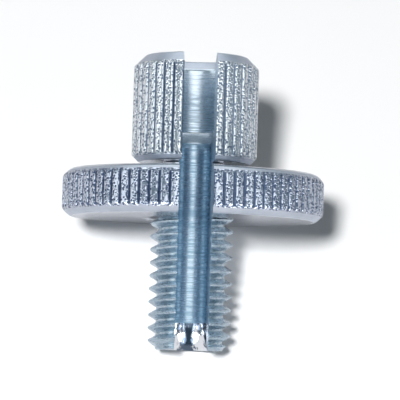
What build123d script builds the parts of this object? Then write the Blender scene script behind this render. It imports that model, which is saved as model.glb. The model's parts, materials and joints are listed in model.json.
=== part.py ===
from build123d import *
import os
from math import atan2, degrees

# A cable adjusting screw with its lock nut, for the lever end of a control cable.
# Both are turned from steel bar, knurled, slotted on one side and zinc plated.
# They are drawn upright, with the tip of the screw on the ground plane, and then
# laid down as they come to rest, on the thread's end and the rim of the nut.

# Thread, after M8 by 1.25, right-hand, with a plain V for its groove and flat crests. The first
# crest is given where it passes the left side, near the tip
thread_diameter = 8.0
thread_pitch = 1.25
thread_depth = 0.77
crest_width = 0.15
first_crest_height = 0.84
tip_diameter = 6.3
tip_bevel_height = 0.9
neck_diameter = 5.8
neck_length = 2.0

# Head of the screw
overall_length = 28.3
head_diameter = 12.1
head_height = 10.3
head_top_bevel = 1.15
head_bottom_bevel = 0.65

# Seat for the end of the cable's outer casing, open at the top of the head
seat_diameter = 6.4
seat_depth = 7.1
seat_cone_height = 1.2
seat_mouth_bevel = 0.9

# Way for the inner cable: a bore with a flared mouth and a slot out of one side
bore_diameter = 3.2
flare_diameter = 5.0
flare_length = 2.9
slot_width = 3.2

# Lock nut: a thin knurled disc
nut_diameter = 25.2
nut_thickness = 4.5
nut_bevel = 0.72
nut_mouth_bevel = 0.5
gap_below_head = 0.9
nut_turn = 3.0
running_clearance = 0.05

# Straight knurl, cut to one depth on the head and on the nut
knurl_pitch = 1.02
knurl_depth = 0.28

# Radii and heights that follow
thread_radius = thread_diameter / 2
tip_radius = tip_diameter / 2
neck_radius = neck_diameter / 2
head_radius = head_diameter / 2
seat_radius = seat_diameter / 2
bore_radius = bore_diameter / 2
flare_radius = flare_diameter / 2
nut_radius = nut_diameter / 2
nut_bore_radius = thread_radius + running_clearance
flank_slope = (thread_pitch - crest_width) / 2 / thread_depth

head_base = overall_length - head_height
neck_base = head_base - neck_length
seat_floor = overall_length - seat_depth
nut_top = head_base - gap_below_head
nut_base = nut_top - nut_thickness
head_ridges = round(Circle(head_radius).edge().length / knurl_pitch)
nut_ridges = round(Circle(nut_radius).edge().length / knurl_pitch)

# The thread's groove is cut from a little further out than the crests. It starts at the front right,
# below the tip, and ends where the neck is thinner than its root
groove_overcut = 0.3
groove_turn = 315.0
groove_mouth = thread_pitch - crest_width + 2 * groove_overcut * flank_slope
groove_start = first_crest_height + thread_pitch * (groove_turn / 360 - 2)
groove_rise = neck_base + thread_radius - neck_radius - groove_start

# The groove as a body of its own: one profile, wound round the screw
with BuildPart() as groove:
    with BuildLine() as groove_path:
        Helix(thread_pitch, groove_rise, thread_radius, center=(0, 0, groove_start))
    with BuildSketch(Plane(groove_path.line @ 0, x_dir=(1, 0, 0), z_dir=groove_path.line % 0)):
        with BuildLine():
            Polyline(
                (-thread_depth, 0),
                (groove_overcut, groove_mouth / 2),
                (groove_overcut, -groove_mouth / 2),
                close=True,
            )
        make_face()
    sweep(path=groove_path.line, is_frenet=True)

# Adjusting screw: the turned outline first
with BuildPart() as screw:
    with BuildSketch(Plane.XZ):
        with BuildLine():
            Polyline(
                (0, 0),
                (tip_radius, 0),
                (thread_radius, tip_bevel_height),
                (thread_radius, neck_base),
                (neck_radius, neck_base + thread_radius - neck_radius),
                (neck_radius, head_base),
                (head_radius - head_bottom_bevel, head_base),
                (head_radius, head_base + head_bottom_bevel),
                (head_radius, overall_length - head_top_bevel),
                (head_radius - head_top_bevel, overall_length),
                (0, overall_length),
                close=True,
            )
        make_face()
    revolve(axis=Axis.Z)
    add(groove.part, rotation=(0, 0, groove_turn), mode=Mode.SUBTRACT)

    # Knurl grooves: each triangle points inwards, and its point is the bottom of a groove
    with BuildSketch(Plane.XY.offset(head_base)):
        with PolarLocations(head_radius - knurl_depth, head_ridges, 90 + 180 / head_ridges):
            RegularPolygon(knurl_depth, 3, rotation=180, align=(Align.MIN, Align.CENTER))
    extrude(amount=head_height, mode=Mode.SUBTRACT)

    # Bore for the inner cable, with its trumpet mouth at the tip
    with BuildSketch(Plane.XZ):
        with BuildLine():
            flare = Line((bore_radius, overall_length), (bore_radius, flare_length))
            TangentArc(flare @ 1, (flare_radius, 0), tangent=flare % 1)
            Polyline((flare_radius, 0), (0, 0), (0, overall_length), (bore_radius, overall_length))
        make_face()
    revolve(axis=Axis.Z, mode=Mode.SUBTRACT)

    # Seat for the casing, drilled from the top, with a cone for its floor
    with BuildSketch(Plane.XZ):
        with BuildLine():
            Polyline(
                (0, seat_floor - seat_cone_height),
                (bore_radius, seat_floor - seat_cone_height),
                (seat_radius, seat_floor),
                (seat_radius, overall_length - seat_mouth_bevel),
                (seat_radius + seat_mouth_bevel, overall_length),
                (0, overall_length),
                close=True,
            )
        make_face()
    revolve(axis=Axis.Z, mode=Mode.SUBTRACT)

    # Slot from the front to the middle of the bore, for the whole length
    with BuildSketch(Plane.XY):
        Rectangle(slot_width, head_diameter, align=(Align.CENTER, Align.MAX))
    extrude(amount=overall_length, mode=Mode.SUBTRACT)

# Lock nut: a disc with the same bevel at both faces and at both ends of its thread
with BuildPart() as nut:
    with BuildSketch(Plane.XZ):
        with BuildLine():
            Polyline(
                (nut_bore_radius + nut_mouth_bevel, nut_base),
                (nut_radius - nut_bevel, nut_base),
                (nut_radius, nut_base + nut_bevel),
                (nut_radius, nut_top - nut_bevel),
                (nut_radius - nut_bevel, nut_top),
                (nut_bore_radius + nut_mouth_bevel, nut_top),
                (nut_bore_radius, nut_top - nut_mouth_bevel),
                (nut_bore_radius, nut_base + nut_mouth_bevel),
                close=True,
            )
        make_face()
    revolve(axis=Axis.Z)

    # One ridge of the knurl is at the very back, where the nut rests
    with BuildSketch(Plane.XY.offset(nut_base)):
        with PolarLocations(nut_radius - knurl_depth, nut_ridges, 90 + 180 / nut_ridges):
            RegularPolygon(knurl_depth, 3, rotation=180, align=(Align.MIN, Align.CENTER))
    extrude(amount=nut_thickness, mode=Mode.SUBTRACT)

    # Slot to the thread, turned a little from the slot of the screw
    with BuildSketch(Plane(origin=(0, 0, nut_base)).rotated((0, 0, -nut_turn))):
        Rectangle(slot_width, nut_diameter, align=(Align.CENTER, Align.MAX))
    extrude(amount=nut_thickness, mode=Mode.SUBTRACT)

# At rest the slot faces up. The nut's lower rim touches the ground, and so does the thread,
# where the upper flank of its first crest comes out of the tip's bevel at the very back
tip_slope = (thread_radius - tip_radius) / tip_bevel_height
flank_height = first_crest_height - thread_pitch / 4 + crest_width / 2
touch_height = (flank_height + flank_slope * (thread_radius - tip_radius)) / (1 + flank_slope * tip_slope)
touch_radius = tip_radius + tip_slope * touch_height
lean = -degrees(atan2(nut_base + nut_bevel - touch_height, nut_radius - touch_radius))
laid = Compound([screw.part, nut.part]).moved(Rotation(lean, 0, 0))
ground_box = laid.bounding_box()
ground_middle = ground_box.center()
rest = Pos(-ground_middle.X, -ground_middle.Y, -ground_box.min.Z) * Rotation(lean, 0, 0)

adjusting_screw = screw.part.moved(rest)
adjusting_screw.label = "adjusting_screw"
lock_nut = nut.part.moved(rest)
lock_nut.label = "lock_nut"

os.makedirs("parts", exist_ok=True)
export_step(adjusting_screw, "parts/adjusting_screw.step")
export_step(lock_nut, "parts/lock_nut.step")
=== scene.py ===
import json
from math import asin, cos, pi, radians, sin, tan

import bmesh
import bpy
import numpy as np
from mathutils import Matrix, Vector, noise


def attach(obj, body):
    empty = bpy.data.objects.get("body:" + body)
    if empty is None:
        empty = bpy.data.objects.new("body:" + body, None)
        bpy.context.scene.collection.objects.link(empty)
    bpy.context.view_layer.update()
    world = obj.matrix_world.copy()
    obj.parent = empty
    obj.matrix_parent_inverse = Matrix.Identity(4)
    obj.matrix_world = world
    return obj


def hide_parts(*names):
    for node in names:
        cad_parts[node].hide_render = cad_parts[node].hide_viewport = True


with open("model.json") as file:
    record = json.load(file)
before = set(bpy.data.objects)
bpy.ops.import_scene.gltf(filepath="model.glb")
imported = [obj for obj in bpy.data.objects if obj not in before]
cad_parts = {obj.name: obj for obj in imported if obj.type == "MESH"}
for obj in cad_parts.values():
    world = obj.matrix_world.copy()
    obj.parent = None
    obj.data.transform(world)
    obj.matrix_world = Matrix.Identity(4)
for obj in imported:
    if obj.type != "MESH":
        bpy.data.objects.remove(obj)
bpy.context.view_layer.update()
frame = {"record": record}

# Adjusting screw
# One turned steel piece: a knurled head, a relief neck and an M8 thread, drilled from end to end
# and milled open on one side so that a cable can be slipped in. The whole of it is zinc plated.
# It is drawn upright with its tip at the origin and the slot towards -Y, and then laid down.
mm = 0.001
thread_radius = 4.0 * mm
thread_pitch = 1.25 * mm
thread_depth = 0.77 * mm
flank_angle = radians(60)
crest_width = 0.15 * mm
left_crest_height = 0.84 * mm
rows_per_thread = 12
tip_radius = 3.15 * mm
tip_bevel = 0.9 * mm
neck_radius = 2.9 * mm
neck_length = 2.0 * mm

screw_length = 28.3 * mm
head_radius = 6.05 * mm
head_height = 10.3 * mm
head_top_bevel = 1.15 * mm
head_bottom_bevel = 0.65 * mm
head_corner = 0.12 * mm

seat_radius = 3.2 * mm
seat_depth = 7.1 * mm
seat_cone = 1.2 * mm
seat_mouth = 0.9 * mm
bore_radius = 1.6 * mm
flare_radius = 2.5 * mm
flare_height = 2.9 * mm
flare_steps = 12
slot_half_width = 1.595 * mm

# Straight knurl: ridge_land is half of a ridge's flat top, as a share of the pitch from ridge to ridge
head_ridges = 37
columns_per_ridge = 8
knurl_depth = 0.25 * mm
ridge_land = 0.33
crown_share = 0.06
dent_size = 0.42 * mm
dent_depth = 0.03 * mm
dent_contrast = 0.8
head_dent_seed = 5.0
head_knurl_turn = radians(3.9)

head_base = screw_length - head_height
neck_base = head_base - neck_length
thread_top = neck_base + thread_radius - neck_radius
seat_floor = screw_length - seat_depth
seat_edge = screw_length - seat_mouth

# The finishes of the rows, in the order of the pieces' materials
TURNED, BEVELLED, KNURLED, SEATED, DRILLED, FLARED, THREADED, MILLED = range(8)

corner_shares = (0.0, 0.33, 0.67)


def turned_rows(corners, corner_radius, closed):
    """Radius, height and finish of each row of a turned outline, with its corners a little round.

    A corner is (radius, height, step of the rows after it, finish of the run after it)."""
    count = len(corners)
    places = [np.array(corner[:2]) for corner in corners]
    rows = []
    for index, (_, _, step, finish) in enumerate(corners):
        here = places[index]
        if index == count - 1 and not closed:
            rows.append((*here, finish))
            break
        after = places[(index + 1) % count]
        run = after - here
        length = np.hypot(*run)
        start = here
        if index or closed:
            back = places[index - 1] - here
            back_length = np.hypot(*back)
            room = min(corner_radius, length / 3, back_length / 3)
            start = here + run / length * room
            entry = here + back / back_length * room
            for share in corner_shares:
                spot = (1 - share) ** 2 * entry + 2 * share * (1 - share) * here + share ** 2 * start
                rows.append((*spot, finish))
        ahead = 0.0
        if closed or index + 1 < count - 1:
            ahead = min(corner_radius, length / 3)
        end = after - run / length * ahead
        steps = max(1, round(np.hypot(*(end - start)) / step))
        for share in np.arange(steps) / steps:
            rows.append((*(start + (end - start) * share), finish))
    return rows


def knurl(turn, ridges, knurl_turn):
    """How far a straight knurl lies below the crest of its ridges; one is `knurl_turn` past the back."""
    place = ((turn - knurl_turn - pi / 2) * ridges / (2 * pi) + 0.5) % 1 - 0.5
    flank = np.clip((np.abs(place) - ridge_land) / (0.5 - ridge_land), 0, 1)
    crown = (place / 0.5) ** 2
    return knurl_depth * ((1 - crown_share) * flank + crown_share * crown)


def dents(radius, turn, height, seed):
    """The rolled knurl's dented surface: an uneven depth from 0 to dent_depth, coarse and fine."""
    shift = Vector((seed, 2 * seed, 3 * seed))
    spots = np.stack([radius * np.cos(turn), radius * np.sin(turn), height], axis=-1) / dent_size
    depth = [noise.noise(Vector(spot) + shift) + 0.5 * noise.noise(2.1 * Vector(spot) - shift)
             for spot in spots.reshape(-1, 3)]
    return dent_depth * np.clip(0.5 + dent_contrast * np.array(depth).reshape(height.shape), 0, 1)


def add_faces(shell, radius, turn, height, finishes, closed, rise):
    """Add a grid of points to the shell; past a full turn a row joins the one `rise` rows up."""
    count, columns = radius.shape
    grid = [[shell.verts.new((radius[i, j] * cos(turn[i, j]), radius[i, j] * sin(turn[i, j]), height[i, j]))
             for j in range(columns)] for i in range(count)]
    for i in range(count if closed else count - 1):
        upper = (i + 1) % count
        for j in range(columns):
            side = (j + 1) % columns
            lift = rise if side == 0 else 0
            if max(i, upper) + lift >= count:
                continue
            corners = (grid[i][j], grid[i + lift][side], grid[upper + lift][side], grid[upper][j])
            shell.faces.new(corners).material_index = finishes[i]


def turned_band(shell, rows, ridges, knurl_turn, crest_radius, seed, closed):
    """Turn rows into a band of faces. Knurled rows get the grooves, which run out in the bevels."""
    columns = ridges * columns_per_ridge
    turn = np.arange(columns) * 2 * pi / columns
    radius = np.array([row[0] for row in rows])[:, None] + 0 * turn
    height = np.array([row[1] for row in rows])[:, None] + 0 * turn
    turns = turn + 0 * radius
    knurled = np.array([row[2] == KNURLED for row in rows])
    crest = crest_radius - knurl(turns[knurled], ridges, knurl_turn)
    crest -= dents(radius[knurled], turns[knurled], height[knurled], seed)
    radius[knurled] = np.minimum(radius[knurled], crest)
    finishes = [row[2] for row in rows]
    for index in np.flatnonzero(knurled):
        if rows[index][0] < crest_radius - knurl_depth:
            finishes[index] = BEVELLED
    add_faces(shell, radius, turns, height, finishes, closed, 0)


def threaded_band(shell):
    """The M8 thread, right hand, from the tip's bevel to the neck, as rows that climb with it.

    Its flanks lean by flank_angle from the axis."""
    columns = head_ridges * columns_per_ridge
    turn = np.arange(columns) * 2 * pi / columns
    row_rise = thread_pitch / rows_per_thread
    first = -3 * rows_per_thread
    count = round(thread_top / row_rise) - 2 * first
    steps = np.arange(first, first + count)
    climb = thread_pitch * (turn - pi) / (2 * pi)
    height = np.clip(left_crest_height + steps[:, None] * row_rise + climb, 0, thread_top)
    half_thread = rows_per_thread // 2
    from_crest = np.abs((steps + half_thread) % rows_per_thread - half_thread) * row_rise
    flank = np.clip((from_crest - crest_width / 2) * tan(flank_angle), 0, thread_depth)
    tip_cone = tip_radius + height * (thread_radius - tip_radius) / tip_bevel
    neck_cone = thread_radius - (height - neck_base)
    radius = np.minimum(np.minimum(thread_radius - flank[:, None], tip_cone), neck_cone)
    add_faces(shell, radius, turn + 0 * radius, height, [THREADED] * count, False, rows_per_thread)


def flare_rows():
    """The trumpet mouth at the tip, as an arc that leaves the bore without an edge."""
    widening = flare_radius - bore_radius
    arc_radius = (widening ** 2 + flare_height ** 2) / (2 * widening)
    whole_turn = asin(flare_height / arc_radius)
    rows = []
    for share in np.arange(1, flare_steps) / flare_steps:
        angle = whole_turn * share
        radius = bore_radius + arc_radius * (1 - cos(angle))
        rows.append((radius, flare_height - arc_radius * sin(angle), FLARED))
    return rows


weld_distance = 1e-7
sharp_edge = radians(50)


def slotted(shell, name, reach):
    """Mill the slot out of a closed shell and give its walls their own finish."""
    blank_mesh = bpy.data.meshes.new(name)
    bmesh.ops.remove_doubles(shell, verts=shell.verts, dist=weld_distance)
    bmesh.ops.dissolve_degenerate(shell, dist=weld_distance, edges=shell.edges)
    shell.to_mesh(blank_mesh)
    shell.free()
    blank = bpy.data.objects.new(name, blank_mesh)
    bpy.context.scene.collection.objects.link(blank)
    cutter_shell = bmesh.new()
    bmesh.ops.create_cube(cutter_shell, size=1.0)
    cutter_size = Vector((2 * slot_half_width, reach, 2 * screw_length))
    bmesh.ops.transform(cutter_shell, verts=cutter_shell.verts, matrix=(
        Matrix.Translation((0, -reach / 2, screw_length / 2)) @ Matrix.Diagonal(cutter_size.to_4d())))
    cutter_mesh = bpy.data.meshes.new("slot_cutter")
    cutter_shell.to_mesh(cutter_mesh)
    cutter_shell.free()
    cutter = bpy.data.objects.new("slot_cutter", cutter_mesh)
    bpy.context.scene.collection.objects.link(cutter)
    milling = blank.modifiers.new("milling", "BOOLEAN")
    milling.operation = "DIFFERENCE"
    milling.solver = "EXACT"
    milling.object = cutter
    graph = bpy.context.evaluated_depsgraph_get()
    milled_mesh = bpy.data.meshes.new_from_object(blank.evaluated_get(graph))
    milled_mesh.name = name
    blank.modifiers.clear()
    blank.data = milled_mesh
    bpy.data.objects.remove(cutter)
    bpy.data.meshes.remove(cutter_mesh)
    bpy.data.meshes.remove(blank_mesh)
    for face in milled_mesh.polygons:
        sides = [abs(milled_mesh.vertices[corner].co.x) for corner in face.vertices]
        if all(abs(side - slot_half_width) < weld_distance for side in sides):
            face.material_index = MILLED
    milled_mesh.shade_smooth()
    milled_mesh.set_sharp_from_angle(angle=sharp_edge)
    return blank


screw_shell = bmesh.new()
outside = turned_rows([
    (neck_radius, thread_top, 0.5 * mm, TURNED),
    (neck_radius, head_base, 0.6 * mm, TURNED),
    (head_radius - head_bottom_bevel, head_base, 0.08 * mm, KNURLED),
    (head_radius, head_base + head_bottom_bevel, 0.15 * mm, KNURLED),
    (head_radius, screw_length - head_top_bevel, 0.09 * mm, KNURLED),
    (head_radius - head_top_bevel, screw_length, 0.3 * mm, BEVELLED),
    (seat_radius + seat_mouth, screw_length, 0.3 * mm, BEVELLED),
    (seat_radius, seat_edge, 0.6 * mm, SEATED),
    (seat_radius, seat_floor, 0.4 * mm, TURNED),
    (bore_radius, seat_floor - seat_cone, 0.8 * mm, DRILLED),
    (bore_radius, flare_height, 0.8 * mm, DRILLED),
], head_corner, False)
tip = turned_rows([
    (flare_radius, 0, 0.3 * mm, TURNED),
    (tip_radius, 0, 0.3 * mm, TURNED),
], head_corner, False)
screw_rows = outside + flare_rows() + tip
turned_band(screw_shell, screw_rows, head_ridges, head_knurl_turn, head_radius, head_dent_seed, False)
threaded_band(screw_shell)
adjusting_screw = slotted(screw_shell, "adjusting_screw_turned", 2 * head_radius)


def worked(tree, operation, *values):
    """The result of arithmetic at each point; a value is a number or the output of another node."""
    step = tree.nodes.new("ShaderNodeMath")
    step.operation = operation
    for socket, value in zip(step.inputs, values):
        if isinstance(value, bpy.types.NodeSocket):
            tree.links.new(value, socket)
        else:
            socket.default_value = value
    return step.outputs["Value"]


def spread(tree, value, start, end, low=0.0, high=1.0, easing="LINEAR"):
    """A value that goes from `low` to `high` while the given one goes from `start` to `end`."""
    ranged = tree.nodes.new("ShaderNodeMapRange")
    ranged.interpolation_type = easing
    ranged.inputs["From Min"].default_value = start
    ranged.inputs["From Max"].default_value = end
    ranged.inputs["To Min"].default_value = low
    ranged.inputs["To Max"].default_value = high
    tree.links.new(value, ranged.inputs["Value"])
    return ranged.outputs["Result"]


def mottle(tree, place, size, detail, roughness=0.5):
    """Uneven spots of about one size, or uneven lines where `place` is a single value."""
    spots = tree.nodes.new("ShaderNodeTexNoise")
    single = place.type == "VALUE"
    spots.noise_dimensions = "1D" if single else "3D"
    spots.inputs["Scale"].default_value = 1 / size
    spots.inputs["Detail"].default_value = detail
    spots.inputs["Roughness"].default_value = roughness
    tree.links.new(place, spots.inputs["W" if single else "Vector"])
    return spots.outputs["Fac"]


def blend(tree, share, first, second):
    """Two values mixed, with `share` of the second."""
    mixed = tree.nodes.new("ShaderNodeMix")
    mixed.inputs["Factor"].default_value = share
    tree.links.new(first, mixed.inputs["A"])
    tree.links.new(second, mixed.inputs["B"])
    return mixed.outputs["Result"]


def zinc(name, pale, deep, cloud_size, relief_share, roughness, relief):
    """Zinc plate over steel: a cloudy blue-white tint, uneven gloss, and the marks of the tool.

    The tint follows the clouds, and by the relief share also the relief, whose hollows are painted darker:
    painted shade.
    The roughness is that of the relief's high places and of its hollows."""
    material = bpy.data.materials.new(name)
    material.use_nodes = True
    tree = material.node_tree
    plate = tree.nodes["Principled BSDF"]
    plate.inputs["Metallic"].default_value = 1.0
    upright = tree.nodes.new("ShaderNodeAttribute")
    upright.attribute_name = "upright"
    place = upright.outputs["Vector"]
    height, depth = relief(tree, place)

    clouds = mottle(tree, place, cloud_size, 6.0, 0.65)
    tint = tree.nodes.new("ShaderNodeValToRGB")
    tint.color_ramp.elements[0].position = 0.32
    tint.color_ramp.elements[0].color = (*deep, 1)
    tint.color_ramp.elements[1].position = 0.68
    tint.color_ramp.elements[1].color = (*pale, 1)
    # Painted shade: by the relief share the relief's hollows take the deep tint
    tree.links.new(blend(tree, relief_share, clouds, height), tint.inputs["Fac"])
    tree.links.new(tint.outputs["Color"], plate.inputs["Base Color"])

    gloss = spread(tree, height, 0.25, 0.75, roughness[1], roughness[0])
    tree.links.new(gloss, plate.inputs["Roughness"])
    bump = tree.nodes.new("ShaderNodeBump")
    bump.inputs["Distance"].default_value = depth
    tree.links.new(height, bump.inputs["Height"])
    tree.links.new(bump.outputs["Normal"], plate.inputs["Normal"])
    return material


def height_and_radius(tree, place):
    """A point's height and its distance from the axis."""
    parts = tree.nodes.new("ShaderNodeSeparateXYZ")
    tree.links.new(place, parts.inputs["Vector"])
    flat = tree.nodes.new("ShaderNodeCombineXYZ")
    tree.links.new(parts.outputs["X"], flat.inputs["X"])
    tree.links.new(parts.outputs["Y"], flat.inputs["Y"])
    radius = tree.nodes.new("ShaderNodeVectorMath")
    radius.operation = "LENGTH"
    tree.links.new(flat.outputs["Vector"], radius.inputs[0])
    return parts.outputs["Z"], radius.outputs["Value"]


ring_size = 0.22 * mm
ring_depth = 0.006 * mm
ring_climb = 1.6


def ring_marks(tree, place):
    """Fine rings left by the turning tool, on flat faces, cones and cylinders alike.

    Height counts for more than radius, so that a cone doesn't run along with one ring."""
    height, radius = height_and_radius(tree, place)
    along = worked(tree, "MULTIPLY_ADD", height, ring_climb, radius)
    return mottle(tree, along, ring_size, 3.0), ring_depth


pit_size = 0.24 * mm
grain_size = 0.2 * mm
grain_share = 0.35
pit_depth = 0.05 * mm
# Painted shade: the share of the relief, and so of the tint, that is left in the knurl's grooves
painted_groove_shade = 0.25


def pits(crest_radius, lower_edge, upper_edge):
    """The knurl's small pits, dents with painted shade in their middles, with grain between them; its
    grooves get painted shade, darker than its lands.

    Beyond its edges the knurled rim falls away in bevels of 45 degrees."""
    def marks(tree, place):
        cells = tree.nodes.new("ShaderNodeTexVoronoi")
        cells.inputs["Scale"].default_value = 1 / pit_size
        tree.links.new(place, cells.inputs["Vector"])
        # Each small dent is also painted shade, as its middle takes the deep tint
        pit_dent_and_shade = spread(tree, cells.outputs["Distance"], 0.25, 0.56, easing="SMOOTHSTEP")
        pitted_and_shaded = blend(tree, grain_share, pit_dent_and_shade, mottle(tree, place, grain_size, 3.0))
        height, radius = height_and_radius(tree, place)
        below = worked(tree, "SUBTRACT", lower_edge, height)
        above = worked(tree, "SUBTRACT", height, upper_edge)
        fallen = worked(tree, "MAXIMUM", worked(tree, "MAXIMUM", below, above), 0.0)
        on_rim = worked(tree, "ADD", radius, fallen)
        deep_radius = crest_radius - 0.75 * knurl_depth
        high_radius = crest_radius - 0.25 * knurl_depth
        # Painted shade in the grooves: the relief, and with it the tint, falls to the painted groove shade
        # there
        painted_groove_shade_factor = spread(tree, on_rim, deep_radius, high_radius, low=painted_groove_shade)
        return worked(tree, "MULTIPLY", pitted_and_shaded, painted_groove_shade_factor), pit_depth
    return marks


def scratches(across, along, depth):
    """Marks drawn out in one direction: round the axis in a bore, or along a milled wall."""
    def marks(tree, place):
        stretch = tree.nodes.new("ShaderNodeMapping")
        stretch.inputs["Scale"].default_value = (1 / across, 1 / across, 1 / along)
        tree.links.new(place, stretch.inputs["Vector"])
        lines = mottle(tree, stretch.outputs["Vector"], 1.0, 4.0, 0.6)
        return spread(tree, lines, 0.35, 0.65), depth
    return marks


bore_lines = scratches(across=2.5 * mm, along=0.15 * mm, depth=0.006 * mm)
seat_ring_size = 0.35 * mm
seat_ringed_depth = 3.0 * mm
seat_ring_strength = 1.6


def seat_rings(tree, place):
    """Fine lines round the seat, with deeper rings at its open end that fade on the way down."""
    lines, depth = bore_lines(tree, place)
    height, _ = height_and_radius(tree, place)
    rings = mottle(tree, height, seat_ring_size, 2.0)
    fade = spread(tree, height, seat_edge - seat_ringed_depth, seat_edge, high=seat_ring_strength)
    return worked(tree, "MULTIPLY_ADD", rings, fade, lines), depth


# Painted reflection: the number and strength of the dark and light bands round the tip's mouth
flute_and_reflection_count = 5
flute_and_reflection_strength = 0.6
flare_lines = scratches(across=0.25 * mm, along=2.0 * mm, depth=0.004 * mm)


def flutes_and_painted_reflection(tree, place):
    """Broad dark and light bands all round the tip's mouth, a dark one at the back: painted reflection,
    over a faint bump of the countersink's marks.
    """
    parts = tree.nodes.new("ShaderNodeSeparateXYZ")
    tree.links.new(place, parts.inputs["Vector"])
    turn = worked(tree, "ARCTAN2", parts.outputs["X"], parts.outputs["Y"])
    wave = worked(tree, "COSINE", worked(tree, "MULTIPLY", turn, flute_and_reflection_count))
    lines, depth = flare_lines(tree, place)
    return worked(tree, "MULTIPLY_ADD", wave, -flute_and_reflection_strength, lines), depth


turned_zinc = zinc(
    "turned_zinc", pale=(0.78, 0.81, 0.86), deep=(0.64, 0.67, 0.72), cloud_size=3.0 * mm,
    relief_share=0.3, roughness=(0.14, 0.22), relief=ring_marks)
bevelled_zinc = zinc(
    "bevelled_zinc", pale=(0.71, 0.75, 0.83), deep=(0.55, 0.60, 0.68), cloud_size=2.0 * mm,
    relief_share=0.3, roughness=(0.36, 0.48), relief=ring_marks)
head_knurl_zinc = zinc(
    "head_knurl_zinc", pale=(0.95, 0.98, 1.0), deep=(0.19, 0.25, 0.34), cloud_size=0.8 * mm,
    relief_share=0.85, roughness=(0.18, 0.34),
    relief=pits(head_radius, head_base + head_bottom_bevel, screw_length - head_top_bevel))
seat_zinc = zinc(
    "seat_zinc", pale=(0.80, 0.88, 0.94), deep=(0.46, 0.57, 0.66), cloud_size=2.0 * mm,
    relief_share=0.5, roughness=(0.20, 0.32), relief=seat_rings)
# The bore's zinc, darker and bluer than the turned zinc: the zinc's colour with painted shade inside the
# slotted bore
drilled_zinc_shaded = zinc(
    "drilled_zinc_shaded", pale=(0.60, 0.71, 0.80), deep=(0.37, 0.53, 0.65), cloud_size=2.0 * mm,
    relief_share=0.5, roughness=(0.20, 0.32), relief=bore_lines)
# The flare's tint runs from near black to white with its bands: painted reflection and painted highlight
flared_zinc_painted_reflection = zinc(
    "flared_zinc_painted_reflection", pale=(0.98, 0.99, 1.0), deep=(0.12, 0.16, 0.22), cloud_size=1.0 * mm,
    relief_share=0.9, roughness=(0.05, 0.12), relief=flutes_and_painted_reflection)
threaded_zinc = zinc(
    "threaded_zinc", pale=(0.58, 0.68, 0.75), deep=(0.40, 0.51, 0.59), cloud_size=1.2 * mm,
    relief_share=0.4, roughness=(0.20, 0.34),
    relief=scratches(across=0.8 * mm, along=0.16 * mm, depth=0.008 * mm))
# The slot walls' zinc, darker and bluer too: the zinc's colour with painted shade in the slot
milled_zinc_shaded = zinc(
    "milled_zinc_shaded", pale=(0.56, 0.64, 0.73), deep=(0.46, 0.55, 0.66), cloud_size=2.0 * mm,
    relief_share=0.4, roughness=(0.22, 0.36),
    relief=scratches(across=0.15 * mm, along=1.5 * mm, depth=0.006 * mm))

mounts = {mount["name"]: mount for mount in frame["record"]["mounts"]}
axis_up = -Vector(mounts["thread"]["axis"])
slot_way = Vector(mounts["cable_slot"]["axis"])
tip_centre = Vector(mounts["thread"]["pos_m"]) - axis_up * tip_bevel
laid_down = Matrix((axis_up.cross(slot_way), -slot_way, axis_up)).transposed().to_4x4()
laid_down.translation = tip_centre


def finished(piece, knurl_zinc, body, node):
    """Lay a piece down where the frame has it, give it its finishes and body, and hide its node."""
    for finish in (turned_zinc, bevelled_zinc, knurl_zinc, seat_zinc, drilled_zinc_shaded, flared_zinc_painted_reflection,
                   threaded_zinc, milled_zinc_shaded):
        piece.data.materials.append(finish)
    upright = np.empty(3 * len(piece.data.vertices), dtype=np.float32)
    piece.data.vertices.foreach_get("co", upright)
    piece.data.attributes.new("upright", "FLOAT_VECTOR", "POINT").data.foreach_set("vector", upright)
    piece.data.transform(laid_down)
    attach(piece, body)
    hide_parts(node)


finished(adjusting_screw, head_knurl_zinc, "screw", "adjusting_screw")

# Lock nut
# A thin turned steel disc, tapped M8 and knurled on its rim, with a slot to its middle that is
# a few degrees off the slot of the screw. It runs on the thread and is zinc plated too.
nut_radius = 12.6 * mm
nut_thickness = 4.5 * mm
nut_gap = 0.9 * mm
nut_bevel = 0.72 * mm
nut_bore = 4.05 * mm
nut_mouth = 0.5 * mm
nut_corner = 0.3 * mm
nut_ridges = 78
nut_turn = radians(3.0)
nut_dent_seed = 11.0
nut_knurl_turn = radians(2.0)
nut_top = head_base - nut_gap
nut_base = nut_top - nut_thickness

nut_shell = bmesh.new()
nut_rows = turned_rows([
    (nut_bore, nut_base + nut_mouth, 0.25 * mm, TURNED),
    (nut_bore + nut_mouth, nut_base, 0.6 * mm, TURNED),
    (nut_radius - nut_bevel, nut_base, 0.09 * mm, KNURLED),
    (nut_radius, nut_base + nut_bevel, 0.15 * mm, KNURLED),
    (nut_radius, nut_top - nut_bevel, 0.09 * mm, KNURLED),
    (nut_radius - nut_bevel, nut_top, 0.6 * mm, TURNED),
    (nut_bore + nut_mouth, nut_top, 0.25 * mm, TURNED),
    (nut_bore, nut_top - nut_mouth, 0.6 * mm, THREADED),
], nut_corner, True)
turned_band(nut_shell, nut_rows, nut_ridges, nut_knurl_turn, nut_radius, nut_dent_seed, True)
bmesh.ops.rotate(nut_shell, verts=nut_shell.verts, matrix=Matrix.Rotation(nut_turn, 3, "Z"))
lock_nut = slotted(nut_shell, "lock_nut_turned", 2 * nut_radius)
lock_nut.data.transform(Matrix.Rotation(-nut_turn, 4, "Z"))
# Painted shade: the same knurled zinc as the head's, with tints made darker than the head's
nut_knurl_zinc_shaded = zinc(
    "nut_knurl_zinc_shaded", pale=(0.64, 0.69, 0.79), deep=(0.09, 0.13, 0.22), cloud_size=0.8 * mm,
    relief_share=0.85, roughness=(0.16, 0.32),
    relief=pits(nut_radius, nut_base + nut_bevel, nut_top - nut_bevel))
finished(lock_nut, nut_knurl_zinc_shaded, "nut", "lock_nut")

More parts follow.
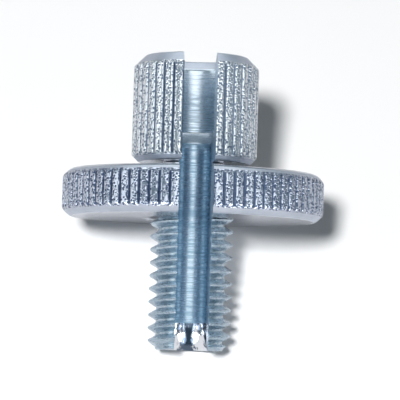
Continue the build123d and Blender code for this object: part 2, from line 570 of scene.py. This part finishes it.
# White paper
# The floor of a small product table: matt white paper that keeps the shadow. The little light
# of its own, for the camera and for mirror images alone, brings it up to a clean white.
paper_half = 1.5
paper_colour = (0.8, 0.8, 0.8)
paper_in_mirror = (0.52, 0.52, 0.54)
paper_lift = 0.06

paper_mesh = bpy.data.meshes.new("paper")
paper_mesh.from_pydata([(-paper_half, -paper_half, 0), (paper_half, -paper_half, 0),
                        (paper_half, paper_half, 0), (-paper_half, paper_half, 0)], [], [(0, 1, 2, 3)])
paper = bpy.data.objects.new("paper", paper_mesh)
bpy.context.scene.collection.objects.link(paper)
paper_material = bpy.data.materials.new("white_paper")
paper_material.use_nodes = True
paper_tree = paper_material.node_tree
paper_tree.nodes.clear()
rays = paper_tree.nodes.new("ShaderNodeLightPath")
mirrored_paper = paper_tree.nodes.new("ShaderNodeMix")
mirrored_paper.data_type = "RGBA"
mirrored_paper.inputs["A"].default_value = (*paper_colour, 1)
mirrored_paper.inputs["B"].default_value = (*paper_in_mirror, 1)
paper_tree.links.new(rays.outputs["Is Glossy Ray"], mirrored_paper.inputs["Factor"])
sheet = paper_tree.nodes.new("ShaderNodeBsdfDiffuse")
paper_tree.links.new(mirrored_paper.outputs["Result"], sheet.inputs["Color"])
seen = worked(paper_tree, "MAXIMUM", rays.outputs["Is Camera Ray"], rays.outputs["Is Glossy Ray"])
glow = paper_tree.nodes.new("ShaderNodeEmission")
paper_tree.links.new(worked(paper_tree, "MULTIPLY", seen, paper_lift), glow.inputs["Strength"])
together = paper_tree.nodes.new("ShaderNodeAddShader")
paper_tree.links.new(sheet.outputs["BSDF"], together.inputs[0])
paper_tree.links.new(glow.outputs["Emission"], together.inputs[1])
surface = paper_tree.nodes.new("ShaderNodeOutputMaterial")
paper_tree.links.new(together.outputs["Shader"], surface.inputs["Surface"])
paper_mesh.materials.append(paper_material)

# Camera
# It looks square onto the slot, a little from the tip's side and from the left, as the photograph does.
camera_reach = 270 * mm
camera_turn = radians(-4.5)
camera_rise = radians(-3.6)
camera_roll = radians(1.67)
aim = Vector((0.69 * mm, 0, 14.5 * mm))
view_width = 38.54 * mm
sensor_width = 36.0

level = cos(camera_rise)
away = Vector((sin(camera_turn) * level, -cos(camera_turn) * level, sin(camera_rise)))
looking = away.to_track_quat("Z", "Y").to_matrix().to_4x4()
rolled = Matrix.Rotation(camera_roll, 4, "Z")
camera_data = bpy.data.cameras.new("camera")
camera_data.sensor_width = sensor_width
camera_data.lens = sensor_width * camera_reach / view_width
camera_data.clip_start = 0.01
camera = bpy.data.objects.new("camera", camera_data)
camera.matrix_world = laid_down @ Matrix.Translation(aim + away * camera_reach) @ looking @ rolled
bpy.context.scene.collection.objects.link(camera)
bpy.context.scene.camera = camera

# Studio light
# A small lamp close to the camera draws the paper's shadow to the lower right. The bright metal
# mirrors a ring of soft boxes instead: one at the camera, two low down, two beside and one above.


def lamp(name, turn, rise, reach, width, height, radiance, mirrored=True):
    """A lamp that faces the object, placed by its turn and rise in degrees from the camera's direction."""
    light = bpy.data.lights.new(name, "AREA")
    light.shape = "RECTANGLE" if mirrored else "ELLIPSE"
    light.size = width
    light.size_y = height
    light.energy = radiance * pi * width * height * (1 if mirrored else pi / 4)
    holder = bpy.data.objects.new(name, light)
    holder.visible_camera = False
    holder.visible_diffuse = not mirrored
    holder.visible_glossy = mirrored
    aside = Matrix.Rotation(radians(turn), 4, "Y") @ Matrix.Rotation(-radians(rise), 4, "X")
    centre = Matrix.Translation(camera.matrix_world @ Vector((0, 0, -camera_reach)))
    facing = camera.matrix_world.to_quaternion().to_matrix().to_4x4()
    holder.matrix_world = centre @ facing @ aside @ Matrix.Translation((0, 0, reach))
    bpy.context.scene.collection.objects.link(holder)


lamp("key_lamp", turn=-8, rise=8, reach=0.8, width=0.10, height=0.10, radiance=350, mirrored=False)
lamp("front_box", turn=3, rise=10, reach=0.7, width=0.60, height=0.55, radiance=1.05)
lamp("low_left_box", turn=-61, rise=-35, reach=0.6, width=0.80, height=0.36, radiance=4.2)
lamp("low_right_box", turn=61, rise=-35, reach=0.6, width=0.80, height=0.36, radiance=4.2)
lamp("left_box", turn=-65, rise=15, reach=0.6, width=0.25, height=0.7, radiance=0.9)
lamp("right_box", turn=54, rise=15, reach=0.6, width=0.11, height=0.7, radiance=1.0)
lamp("top_box", turn=0, rise=95, reach=0.6, width=0.9, height=0.30, radiance=1.2)

# The room is pale blue in the metal's mirror image, and much dimmer on the paper.
room_colour = (0.28, 0.36, 0.42)
mirrored_room = 0.72
paper_room = 0.22
room = bpy.data.worlds.new("room")
room.use_nodes = True
room_tree = room.node_tree
sky = room_tree.nodes["Background"]
sky.inputs["Color"].default_value = (*room_colour, 1)
room_rays = room_tree.nodes.new("ShaderNodeLightPath")
room_strength = spread(room_tree, room_rays.outputs["Is Glossy Ray"], 0.0, 1.0, paper_room, mirrored_room)
room_tree.links.new(room_strength, sky.inputs["Strength"])
bpy.context.scene.world = room
bpy.context.scene.view_settings.view_transform = "Standard"
